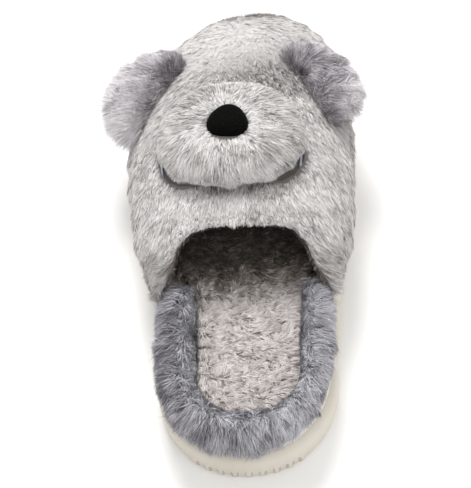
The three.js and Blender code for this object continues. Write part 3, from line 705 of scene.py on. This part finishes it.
def vamp_flow(points):
    """Way that the vamp's pile lies: back to the throat and down the sides, and brushed apart at the toe."""
    x, y = points[:, 0], points[:, 1]
    middle = -3 + 6 * smooth(y, 120, 215)
    away = (x - middle) / 42
    toe = smooth(y, 140, 185)
    beside = 0.5 * smooth(np.abs(away), 0.8, 1.3)
    flow = np.column_stack([(0.5 + 0.5 * smooth(-y, -90, -55)) * away, -np.ones_like(x), -beside])
    splayed = 1.3 * np.clip(away, -1, 1)
    brushed = np.column_stack([splayed, np.full_like(x, -0.6), -0.4 * np.abs(away)])
    return flow * (1 - toe)[:, None] + brushed * toe[:, None]


def make_upper_fur(upper):
    tones = [
        (0, colour(84, 79, 77)),
        (0.25, colour(160, 155, 152)),
        (0.5, colour(206, 202, 200)),
        (0.8, colour(226, 223, 221)),
        (1, colour(240, 238, 237)),
    ]
    roots = [(0, grey(0.3)), (0.3, grey(0.62)), (0.65, grey(0.95)), (1, grey(1))]
    material = fur_material("vamp_strands", tones, roots, 0.2)
    points, normals = scatter(upper, vamp_weight, VAMP_STRANDS, 21)
    flow = vamp_flow(points) + 0.4 * wander(points, 14) + 0.25 * wander(points, 5)
    x, y, z = points.T
    for side in (1, -1):
        eye = np.array([FACE_SHIFT + side * EYE_APART / 2, EYE_PLACE - HEEL_BACK, 0])
        near = (1 - smooth(eye_share(points, side), 1.1, 1.6)) * (z > 50)
        flow += 0.3 * near[:, None] * unit((points - eye) * np.array([1, 1, 0]))
    toe = smooth(y, 155, 196)
    calm = smooth(y, 158, 184)
    brow = smooth(-y, -83, -74) * (np.abs(x) < 34) * smooth(z, 48, 54)
    wing = smooth(-y, -84, -56)
    wing_end = smooth(-y, -66, -50)
    steep = smooth(-normals[:, 2], -0.5, 0.0)
    crown = np.exp(-(((x - 12) / 26) ** 2 + ((y - 165) / 20) ** 2))
    # Band just under the muzzle's lower edge: its strands are darkened in the tone below as painted shade
    # under the muzzle
    lower = smooth(-muzzle_share(points), -1.12, -1.0) * (y < 118)
    by_eye = 1 - smooth(np.minimum(eye_share(points, 1), eye_share(points, -1)), 1.1, 1.5)
    by_eye = by_eye * (z > 50)
    look = {
        "lift": 0.28 - 0.16 * calm * (1 - steep) + 0.35 * crown - 0.06 * steep - 0.1 * by_eye,
        "length": 6.6 - 0.6 * toe - 3.4 * brow - 0.6 * steep - 2.4 * by_eye - 1.6 * crown + 2.5 * wing_end,
        "width": 0.32 + 0.1 * calm,
        "tuft": 1.2,
        "pull": 0.3 - 0.25 * calm,
        # Tone: the toe is lighter, most on its lateral side, as painted light on the brightly lit toe
        "tone": 0.58 + toe * (0.19 - 0.12 * smooth(x, -5, 18)) - 0.34 * crown - 0.12 * wing - 0.4 * lower,
        "spread": 0.22 - 0.19 * calm + 0.04 * crown,
        "even": 0.8 + 0.5 * calm,
        "stray": 0.2,
    }
    look["tone"] -= 0.16 * wing_end * (x < 0)
    medial = x > np.median(x)
    look["tone"] += (1 - calm) * (0.03 + 0.32 * (NOISE[3](points, 7) - 0.5) + 0.06 * (~medial))
    for name, part in (("vamp_pile_medial", medial), ("vamp_pile_lateral", ~medial)):
        chosen = {}
        for key, value in look.items():
            chosen[key] = value[part] if isinstance(value, np.ndarray) else value
        fur(name, material, points[part], normals[part], flow[part], chosen, 31)


def lining_weight(points, normals):
    """Thickness of the lining's pile, which ends where the throat no longer shows it."""
    inside = 1 - outer_side(points, normals)
    return inside * (points[:, 1] < 135) * (points[:, 2] > 20) + 1e-9


def make_lining(upper):
    # Darkest tones: painted shade inside the throat
    tones = [(0, colour(26, 22, 16)), (0.5, colour(104, 92, 84)), (1, colour(158, 145, 138))]
    roots = [(0, grey(0.4)), (0.5, grey(0.85)), (1, grey(1))]
    material = fur_material("lining_painted_shade_strands", tones, roots, 0.1)
    points, normals = scatter(upper, lining_weight, LINING_STRANDS, 23)
    flow = wander(points, 5) * 1.5 + np.array([0, -0.4, -0.6])
    # Tone falls to the darkest toward the toe: painted shade deep inside the throat
    tone = 0.75 - 0.75 * smooth(points[:, 1], 60, 76)
    look = {"lift": 0.5, "length": 4, "width": 0.6, "tuft": 2.2, "pull": 0.4, "tone": tone, "spread": 0.12}
    fur("lining_pile", material, points, normals, flow, look, 33)


def beside_rim(points):
    """Outward direction of the heel half's rim beside each place, in plan, and the distance to the rim."""
    places, normals = [], []
    for side in (1, -1):
        place, normal = rim(side, np.linspace(0, 140, 120))
        places.append(place)
        normals.append(normal)
    places, normals = np.concatenate(places), np.concatenate(normals)
    out = np.zeros((len(points), 3))
    distance = np.zeros(len(points))
    for start in range(0, len(points), 4000):
        part = slice(start, start + 4000)
        squares = ((points[part, None, :2] - places[None]) ** 2).sum(2)
        out[part, :2] = normals[np.argmin(squares, axis=1)]
        distance[part] = np.sqrt(squares.min(1))
    return out, distance


def collar_weight(points, normals):
    """Thickness of the collar's pile: most on its top."""
    return (points[:, 2] > 22.5) * (0.35 + 0.65 * smooth(normals[:, 2], -0.6, 0.3)) + 1e-9


def make_collar_fur(collar):
    tones = [
        (0, colour(56, 54, 60)),
        (0.3, colour(120, 118, 124)),
        (0.6, colour(170, 168, 174)),
        (1, colour(214, 213, 218)),
    ]
    roots = [(0, grey(0.3)), (0.3, grey(0.55)), (0.7, grey(0.9)), (1, grey(1))]
    material = fur_material("collar_strands", tones, roots, 0.2)
    points, normals = scatter(collar, collar_weight, COLLAR_STRANDS, 25)
    out = beside_rim(points)[0]
    x, y = points.T[:2]
    facing = (normals * out).sum(1)
    within = smooth(-facing, 0.1, 0.7)
    beyond = smooth(facing, 0.1, 0.8)
    rise = 1.3 * within - 1.1 * beyond
    flow = out + np.column_stack([0 * x, 0 * x - 0.3, rise]) + 0.8 * wander(points, 12)
    flow += 0.6 * wander(points, 4)
    leaning = np.random.default_rng(45).random(len(points)) < 0.5
    flow -= 2.2 * out * (within * leaning)[:, None]
    inner_heel = smooth(x, 2, 28) * smooth(-y, -24, 4)
    patches = NOISE[3](points, 6) - 0.5
    flow[:, 0] -= 0.9 * inner_heel
    flow[:, 1] -= 0.2 * inner_heel
    look = {
        "lift": 0.42 - 0.1 * within - 0.06 * beyond + 0.28 * within * leaning,
        "length": 9.5 - 3.8 * within + 2.0 * smooth(-y, 0, 30) - 3.2 * inner_heel,
        "width": 0.3,
        "tuft": 1.3,
        "pull": 0.3,
        "stray": 0.3,
        # Tone: darker toward the lateral side, painted shade of the vamp's wing
        "tone": 0.42 + 0.16 * within + 0.2 * smooth(x, -25, 35) + 0.12 * smooth(-y, 0, 30) + 0.4 * patches,
        "spread": 0.28,
        "swing": 0.34,
        "droop": 0.2,
    }
    fur("collar_pile", material, points, normals, flow, look, 35)


def muzzle_weight(points, normals):
    """Thickness of the muzzle's pile: none under the nose and under the pad."""
    nose = np.hypot(points[:, 0] - FACE_SHIFT, points[:, 1] - NOSE_PLACE + HEEL_BACK)
    shown = (normals[:, 2] > -0.45) * (nose > NOSE_WIDTH / 2 - 0.6)
    return shown * (0.5 + 0.5 * smooth(normals[:, 2], -0.3, 0.6)) + 1e-9


def make_muzzle_fur(muzzle):
    tones = [
        (0, colour(84, 79, 77)),
        (0.25, colour(160, 155, 152)),
        (0.5, colour(204, 200, 198)),
        (0.8, colour(226, 223, 221)),
        (1, colour(240, 238, 237)),
    ]
    roots = [(0, grey(0.3)), (0.3, grey(0.62)), (0.65, grey(0.95)), (1, grey(1))]
    material = fur_material("muzzle_strands", tones, roots, 0.2)
    points, normals = scatter(muzzle, muzzle_weight, MUZZLE_STRANDS, 27)
    x, y = points.T[:2]
    away = np.column_stack([x - FACE_SHIFT, y - NOSE_PLACE + HEEL_BACK, 0 * x])
    distance = np.linalg.norm(away, axis=1)
    rim_side = smooth(-normals[:, 2], -0.7, -0.1)
    flow = unit(away) + np.array([0, -0.2, 0]) + 0.5 * wander(points, 11) + 0.3 * wander(points, 4)
    flow[:, 2] -= 1.2 * rim_side
    ends = smooth(np.abs(x - FACE_SHIFT), 22, 33)
    toeward = smooth(y, 118, 145)
    patches = NOISE[3](points, 6) - 0.5
    look = {
        "lift": 0.28 + 0.08 * np.exp(-distance / 14) - 0.12 * rim_side,
        "length": 5.2 + 3.4 * smooth(distance, 9, 24) - 1.0 * toeward - 2.0 * rim_side - 1.5 * ends,
        "width": 0.32,
        "tuft": 1.2,
        "pull": 0.3,
        "stray": 0.2,
        "tone": 0.63 - 0.04 * toeward - 0.14 * smooth(x - FACE_SHIFT, 6, 30) + 0.5 * patches,
        "spread": 0.28,
        "droop": 0.1,
    }
    fur("muzzle_pile", material, points, normals, flow, look, 37)


def ear_weight(points, normals):
    """Thickness of an ear's pile: most on its top."""
    return 0.35 + 0.65 * smooth(normals[:, 2], -0.5, 0.3)


def make_ear_fur(ear, side, material):
    points, normals = scatter(ear, ear_weight, EAR_STRANDS, 29 + side)
    x, y = points.T[:2]
    low, high = points.min(0), points.max(0)
    base = np.array([FACE_SHIFT + side * 0.3 * BALL_WIDTH, (low[1] + high[1]) / 2 + 4, 0])
    fan = unit((points - base) * np.array([1, 1, 0]) + np.array([side * 16, 0, 0]))
    flow = fan + 0.6 * wander(points, 9) + 0.3 * wander(points, 4)
    starts = 0.44 if side > 0 else 0.34
    out = smooth(np.abs(x - FACE_SHIFT), starts * BALL_WIDTH, (starts + 0.2) * BALL_WIDTH)
    toe_end = smooth(y, high[1] - 16, high[1] - 2)
    look = {
        "lift": 0.42 + 0 * x,
        "length": 8.5 + 4.5 * out - 3.5 * toe_end,
        "width": 0.3,
        "tuft": 1.4,
        "pull": 0.32,
        "stray": 0.26,
        "tone": 0.41 + 0.55 * out + 0.26 * toe_end + 0.36 * (NOISE[3](points, 6) - 0.5),
        "spread": 0.2,
        "swing": 0.3,
    }
    name = "ear_pile_medial" if side > 0 else "ear_pile_lateral"
    fur(name, material, points, normals, flow, look, 39 + side)


def make_footbed_fur(insole):
    tones = [
        (0, colour(38, 33, 23)),
        (0.3, colour(143, 130, 120)),
        (0.6, colour(214, 206, 203)),
        (1, colour(246, 241, 239)),
    ]
    roots = [(0, grey(0.45)), (0.35, grey(0.8)), (1, grey(1.0))]
    material = fur_material("footbed_strands", tones, roots, 0.2)

    def shown(points, normals):
        return (normals[:, 2] > 0.2) * (1 - 0.75 * smooth(points[:, 1], 100, 140)) + 1e-9

    points, normals = scatter(insole, shown, FOOTBED_STRANDS, 41)
    x, y = points.T[:2]
    curl = np.random.default_rng(42).normal(0, 0.3, len(points))
    turn = 2.2 * (NOISE[0](points, 7) - 0.5) + 2.4 * (NOISE[1](points, 3) - 0.5) + curl
    flow = np.column_stack([np.cos(turn), np.sin(turn) - 0.2, 0 * x])
    out, distance = beside_rim(points)
    beside = smooth(-distance, -26, -18) * (y < 60)
    flow += 1.4 * out * beside[:, None]
    look = {
        "lift": 0.42 + 0.2 * NOISE[2](points, 3),
        "length": 5.2 + 1.6 * beside,
        "width": 0.3,
        "tuft": 1.5,
        "pull": 0.45,
        # Tone falls toward the toe, down to the darkest brown tone: painted shade inside the throat
        "tone": 0.69 + 0.3 * (NOISE[3](points, 4) - 0.5) - 0.7 * smooth(y, 42, 78),
        "spread": 0.15,
        "swing": 0.4,
    }
    fur("footbed_pile", material, points, normals, flow, look, 43)


def nose_material():
    """Black flock: nearly dull, with a fine grain."""
    material, nodes, links, shader = new_material("nose_flock")
    place = nodes.new("ShaderNodeTexCoord")
    noise = nodes.new("ShaderNodeTexNoise")
    noise.inputs["Scale"].default_value = 1300
    noise.inputs["Detail"].default_value = 3
    links.new(place.outputs["Object"], noise.inputs["Vector"])
    tint = ramp(nodes, [(0.35, colour(3, 3, 3)), (0.75, colour(17, 17, 15))])
    links.new(noise.outputs["Fac"], tint.inputs["Fac"])
    links.new(tint.outputs["Color"], shader.inputs["Base Color"])
    bump = nodes.new("ShaderNodeBump")
    bump.inputs["Strength"].default_value = 0.5
    bump.inputs["Distance"].default_value = 0.0005
    links.new(noise.outputs["Fac"], bump.inputs["Height"])
    links.new(bump.outputs["Normal"], shader.inputs["Normal"])
    shader.inputs["Roughness"].default_value = 0.85
    shader.inputs["Specular IOR Level"].default_value = 0.05
    return material


def make_nose():
    """Domed pad with the outline of a rounded triangle."""
    sides, rows = 72, 22
    low, high = (np.array(corner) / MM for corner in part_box("nose"))
    centre = (low + high) / 2
    base = low[2]
    turn = np.linspace(0, 2 * np.pi, sides, endpoint=False)
    rounded = 0.96 + 0.06 * np.cos(3 * (turn - np.radians(82)))
    outline = NOSE_WIDTH / 2 * rounded * np.sqrt(1 + 0.12 * np.cos(2 * turn))
    verts = []
    for k in range(rows):
        t = k / (rows - 1)
        reach = np.sin(np.pi / 2 * (1 - t)) ** 0.55 if k < rows - 1 else 0.02
        z = base + (high[2] - base) * np.sin(np.pi / 2 * t) ** 0.85
        for angle, size in zip(turn, outline):
            x = centre[0] + size * reach * np.cos(angle)
            y = centre[1] + size * reach * np.sin(angle)
            verts.append((x, y, z))
    faces = [
        (k * sides + i, k * sides + (i + 1) % sides, (k + 1) * sides + (i + 1) % sides, (k + 1) * sides + i)
        for k in range(rows - 1)
        for i in range(sides)
    ]
    top = len(verts)
    verts.append((centre[0], centre[1], high[2]))
    faces += [((rows - 1) * sides + i, (rows - 1) * sides + (i + 1) % sides, top) for i in range(sides)]
    nose = make_piece("nose_dome", np.array(verts), faces)
    nose.data.materials.append(nose_material())
    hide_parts("nose")


def eye_material(side):
    """Embroidery: grey-brown fill with rows of stitches, and curved navy and pale lines at both ends."""
    material, nodes, links, shader = new_material("eye_thread_medial" if side > 0 else "eye_thread_lateral")
    place = nodes.new("ShaderNodeTexCoord")
    move = nodes.new("ShaderNodeMapping")
    move.vector_type = "POINT"
    wide, long = EYE_WIDTH / 2 * MM, EYE_LENGTH * EYE_CURVE * MM
    centre = ((FACE_SHIFT + side * EYE_APART / 2) * MM, (EYE_PLACE - HEEL_BACK) * MM)
    move.inputs["Location"].default_value = (-centre[0] / wide, -centre[1] / long, 0)
    move.inputs["Scale"].default_value = (1 / wide, 1 / long, 0)
    links.new(place.outputs["Object"], move.inputs["Vector"])
    size = nodes.new("ShaderNodeVectorMath")
    size.operation = "LENGTH"
    links.new(move.outputs["Vector"], size.inputs[0])
    zones = ramp(
        nodes,
        [
            (0.0, colour(96, 90, 85)),
            (0.78, colour(84, 78, 74)),
            (0.8, colour(44, 46, 66)),
            (0.83, colour(44, 46, 66)),
            (0.85, colour(190, 190, 196)),
            (0.89, colour(190, 190, 196)),
            (0.91, colour(34, 37, 62)),
            (1.0, colour(52, 55, 82)),
        ],
    )
    links.new(size.outputs["Value"], zones.inputs["Fac"])
    links.new(zones.outputs["Color"], shader.inputs["Base Color"])
    wave = nodes.new("ShaderNodeTexWave")
    wave.bands_direction = "Y"
    wave.inputs["Scale"].default_value = 700
    wave.inputs["Distortion"].default_value = 1.5
    links.new(place.outputs["Object"], wave.inputs["Vector"])
    bump = nodes.new("ShaderNodeBump")
    bump.inputs["Strength"].default_value = 0.5
    bump.inputs["Distance"].default_value = 0.0003
    links.new(wave.outputs["Fac"], bump.inputs["Height"])
    links.new(bump.outputs["Normal"], shader.inputs["Normal"])
    shader.inputs["Roughness"].default_value = 0.45
    shader.inputs["Specular IOR Level"].default_value = 0.4
    return material


def dress_eye(node, side):
    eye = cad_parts[node]
    eye.data.materials.clear()
    eye.data.materials.append(eye_material(side))
    eye.data.shade_smooth()


# Each soft piece: its softened copy, its backing and its pile


def dress_upper():
    upper = smooth_copy("upper_backing", "upper", 2.2, 14)
    # Dark backing colours: painted shade between the strands; the light toe colour: painted light on the
    # brightly lit toe
    low, high, toe = colour(112, 107, 104), colour(140, 135, 132), colour(222, 219, 217)
    upper.data.materials.append(backing_with_painted_shade("vamp_backing_painted_light_and_shade", low, high, 60, toe))
    make_upper_fur(upper)
    make_lining(upper)


def dress_collar():
    collar = smooth_copy("collar_roll", "heel_collar", 1.8, 6)
    # Dark backing colours: painted shade between the strands
    low, high = colour(70, 69, 73), colour(92, 90, 95)
    collar.data.materials.append(backing_with_painted_shade("collar_backing_painted_shade", low, high, 60))
    make_collar_fur(collar)


def dress_muzzle():
    muzzle = smooth_copy("muzzle_pad", "muzzle", 1.6, 24)
    # Dark backing colours: painted shade between the strands
    low, high = colour(104, 98, 95), colour(126, 120, 117)
    muzzle.data.materials.append(backing_with_painted_shade("muzzle_backing_painted_shade", low, high, 60))
    make_muzzle_fur(muzzle)


def dress_footbed():
    insole = smooth_copy("footbed_pad", "insole", 1.8, 3)
    # Dark backing colours: painted shade between the strands
    low, high = colour(112, 102, 98), colour(146, 136, 132)
    insole.data.materials.append(backing_with_painted_shade("footbed_backing_painted_shade", low, high, 90))
    make_footbed_fur(insole)


def dress_ears():
    """Both ears, and the eye beside each."""
    tones = [
        (0, colour(66, 62, 68)),
        (0.35, colour(148, 144, 150)),
        (0.65, colour(208, 204, 208)),
        (1, colour(238, 235, 236)),
    ]
    roots = [(0, grey(0.26)), (0.35, grey(0.54)), (0.7, grey(0.86)), (1, grey(1))]
    material = fur_material("ear_strands", tones, roots, 0.2)
    # Dark backing colours: painted shade between the strands
    backing = backing_with_painted_shade("ear_backing_painted_shade", colour(66, 63, 67), colour(88, 84, 88), 60)
    for label, side in (("medial", 1), ("lateral", -1)):
        ear = smooth_copy(f"ear_flap_{label}", f"ear_{label}", 1.5, 5)
        ear.data.materials.append(backing)
        make_ear_fur(ear, side, material)
        dress_eye(f"eye_{label}", side)


# Camera, floor and light

ELEVATION, AZIMUTH, ROLL = np.radians((57, 7, -8.5))
TARGET = np.array([0, 92, 40]) * MM
DISTANCE = 1.0
SENSOR_WIDTH = 36

# In pixels of the frame: its width, the focal length, and the aim's way from the target, left and down
FRAME_WIDTH = 471
FOCAL = 1970
AIM_LEFT = 8.6
AIM_DOWN = 32

# In metres
FLOOR_HALF = 4.0


def make_camera():
    """The photograph's angle, with the one shoe brought to the middle of the frame."""
    forward = np.array(
        [
            -np.sin(AZIMUTH) * np.cos(ELEVATION),
            np.cos(AZIMUTH) * np.cos(ELEVATION),
            -np.sin(ELEVATION),
        ]
    )
    right = np.array([np.cos(AZIMUTH), np.sin(AZIMUTH), 0])
    up = np.cross(right, forward)
    across = right * np.cos(ROLL) + up * np.sin(ROLL)
    above = -right * np.sin(ROLL) + up * np.cos(ROLL)
    place = TARGET - forward * DISTANCE
    aim = unit(forward * FOCAL - above * AIM_DOWN - across * AIM_LEFT)
    level_across = unit(across - aim * np.dot(across, aim))
    camera = bpy.data.cameras.new("camera")
    camera.sensor_fit = "HORIZONTAL"
    camera.sensor_width = SENSOR_WIDTH
    camera.lens = FOCAL * SENSOR_WIDTH / FRAME_WIDTH
    camera.clip_start = 0.05
    shot = bpy.data.objects.new("camera", camera)
    axes = np.column_stack([level_across, np.cross(-aim, level_across), -aim])
    turn = Matrix(axes.tolist()).to_4x4()
    shot.matrix_world = Matrix.Translation(Vector(place)) @ turn
    bpy.context.scene.collection.objects.link(shot)
    bpy.context.scene.camera = shot


def make_floor():
    mesh = bpy.data.meshes.new("floor")
    wide = FLOOR_HALF
    corners = [(-wide, -wide, 0), (wide, -wide, 0), (wide, wide, 0), (-wide, wide, 0)]
    mesh.from_pydata(corners, [], [(0, 1, 2, 3)])
    floor = bpy.data.objects.new("floor", mesh)
    material, nodes, links, shader = new_material("floor_white")
    shader.inputs["Base Color"].default_value = (0.93, 0.925, 0.915, 1)
    shader.inputs["Roughness"].default_value = 0.9
    shader.inputs["Specular IOR Level"].default_value = 0.1
    mesh.materials.append(material)
    bpy.context.scene.collection.objects.link(floor)


def area_light(name, place, size, power, target=(0, 0.09, 0.03)):
    light = bpy.data.lights.new(name, "AREA")
    light.shape = "DISK"
    light.size = size
    light.energy = power
    lamp = bpy.data.objects.new(name, light)
    lamp.location = place
    way = Vector(target) - Vector(place)
    lamp.rotation_euler = way.to_track_quat("-Z", "Y").to_euler()
    bpy.context.scene.collection.objects.link(lamp)


def make_light():
    world = bpy.data.worlds.new("studio")
    world.use_nodes = True
    world.node_tree.nodes["Background"].inputs["Color"].default_value = (1, 1, 1, 1)
    world.node_tree.nodes["Background"].inputs["Strength"].default_value = 0.73
    bpy.context.scene.world = world
    area_light("key", (-0.12, 0.95, 1.25), 0.6, 17)
    area_light("fill", (0.5, -0.7, 1.2), 1.2, 6)
    bpy.context.scene.view_settings.view_transform = "Standard"


make_camera()
make_floor()
make_light()
make_sole()

dress_upper()
dress_collar()
dress_muzzle()
dress_footbed()
dress_ears()
make_nose()
